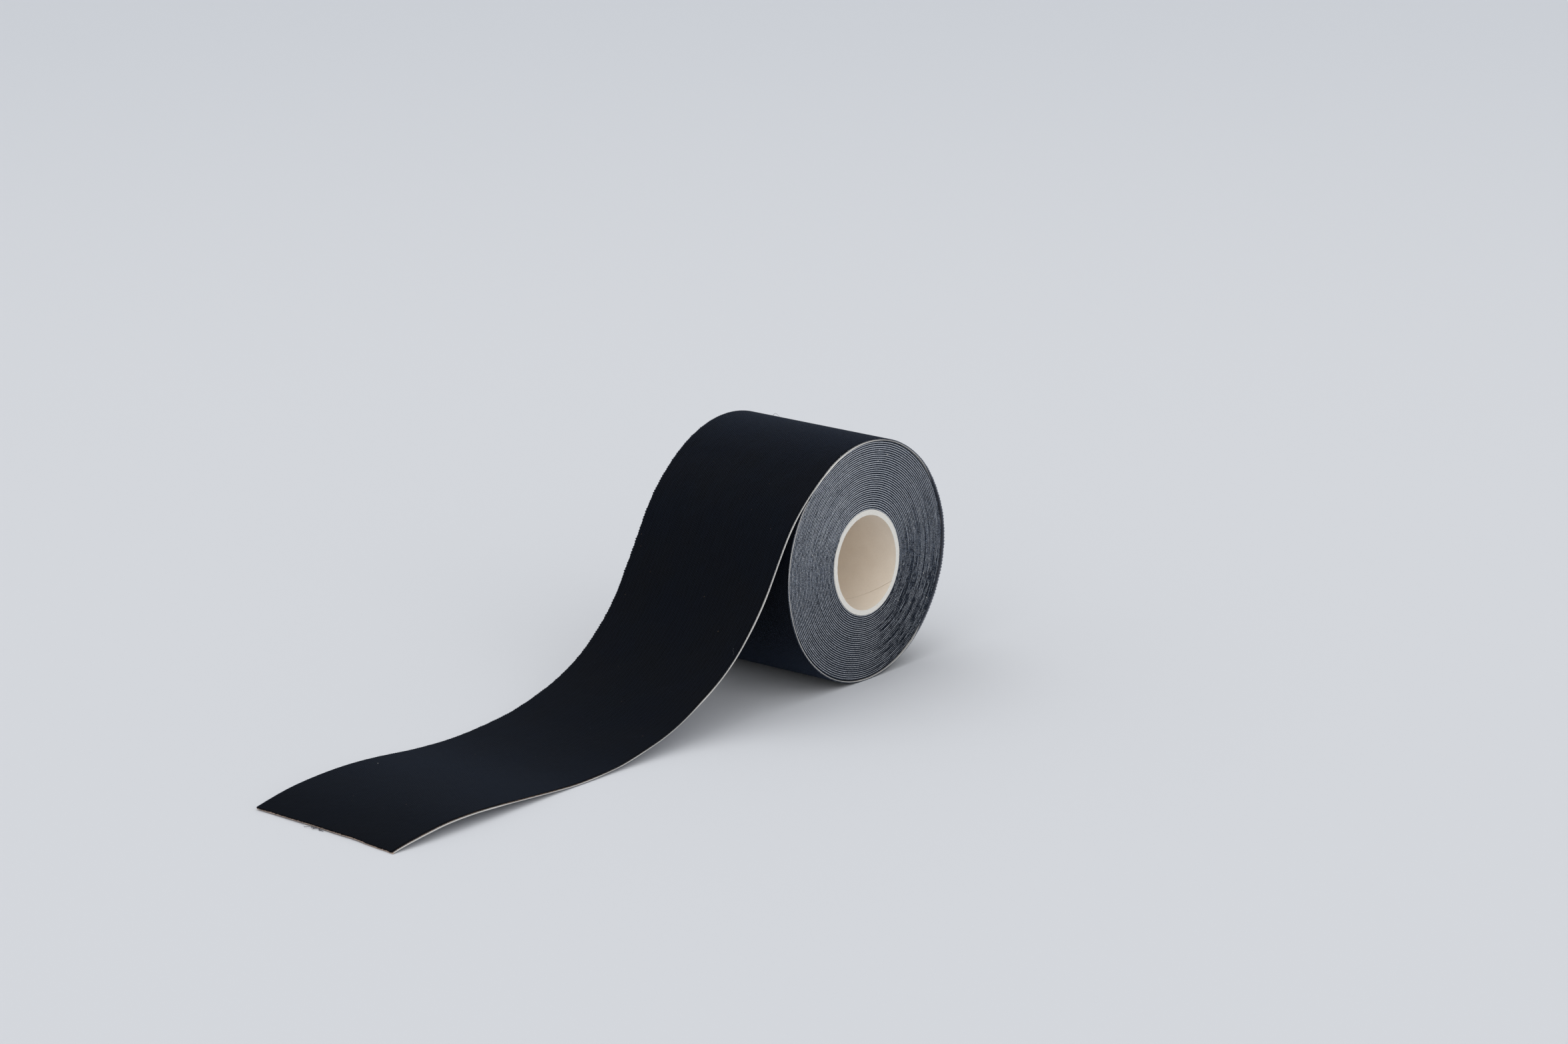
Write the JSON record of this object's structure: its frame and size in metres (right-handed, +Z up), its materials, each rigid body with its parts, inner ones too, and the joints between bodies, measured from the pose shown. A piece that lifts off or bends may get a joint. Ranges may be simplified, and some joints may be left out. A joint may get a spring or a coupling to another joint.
{
  "type": "sports tape roll",
  "caption": "Roll of black elastic cloth tape with a paper liner, wound on a cardboard core; the last turn is loose and the free end lies flat.",
  "frame": {"origin": "centre of the flat strip under the roll that stands on the table, midway across the tape's width", "axes": "+Z up, +Y along the roll's axis, -X along the table towards the tape's free end"},
  "size_m": [0.2208, 0.05, 0.0689],
  "materials": {
    "cloth": "matt black elastic cotton weave",
    "liner": "smooth off-white release paper",
    "core_inner": "beige kraft paper",
    "core_board": "raw grey-beige board",
    "core_outer": "pale paper",
    "start_strip": "tacky double-sided paper strip"
  },
  "bodies": {
    "unwound_tape": {"unwound_cloth": "cloth", "unwound_liner": "liner"},
    "roll": {"core_inner_ply": "core_inner", "core_board_ply_1": "core_board", "core_board_ply_2": "core_board", "core_outer_ply": "core_outer", "core_start_strip": "start_strip", "wound_cloth": "cloth", "wound_liner": "liner"},
    "free_end_1": {"free_end_cloth_1": "cloth", "free_end_liner_1": "liner"},
    "free_end_2": {"free_end_cloth_2": "cloth", "free_end_liner_2": "liner"},
    "free_end_3": {"free_end_cloth_3": "cloth", "free_end_liner_3": "liner"},
    "peel_tip": {"peel_tip_cloth": "cloth"}
  },
  "joints": [
    {"name": "roll_spin", "type": "hinge", "parent": "unwound_tape", "child": "roll", "pos_m": [0, 0, 0.03446], "axis": [0, 1, 0], "continuous": true},
    {"name": "end_lift", "type": "hinge", "parent": "unwound_tape", "child": "free_end_1", "pos_m": [-0.11579, 0, 0.00113], "axis": [0, 1, 0], "range_deg": [0, 25]},
    {"name": "end_curl_1", "type": "hinge", "parent": "free_end_1", "child": "free_end_2", "pos_m": [-0.13664, 0, 0.00238], "axis": [0, 1, 0], "range_deg": [0, 25]},
    {"name": "end_curl_2", "type": "hinge", "parent": "free_end_2", "child": "free_end_3", "pos_m": [-0.15952, 0, 0.00356], "axis": [0, 1, 0], "range_deg": [0, 25]},
    {"name": "cloth_peel", "type": "hinge", "parent": "free_end_3", "child": "peel_tip", "pos_m": [-0.16568, 0, 0.00335], "axis": [0, 1, 0], "range_deg": [0, 140]}
  ]
}
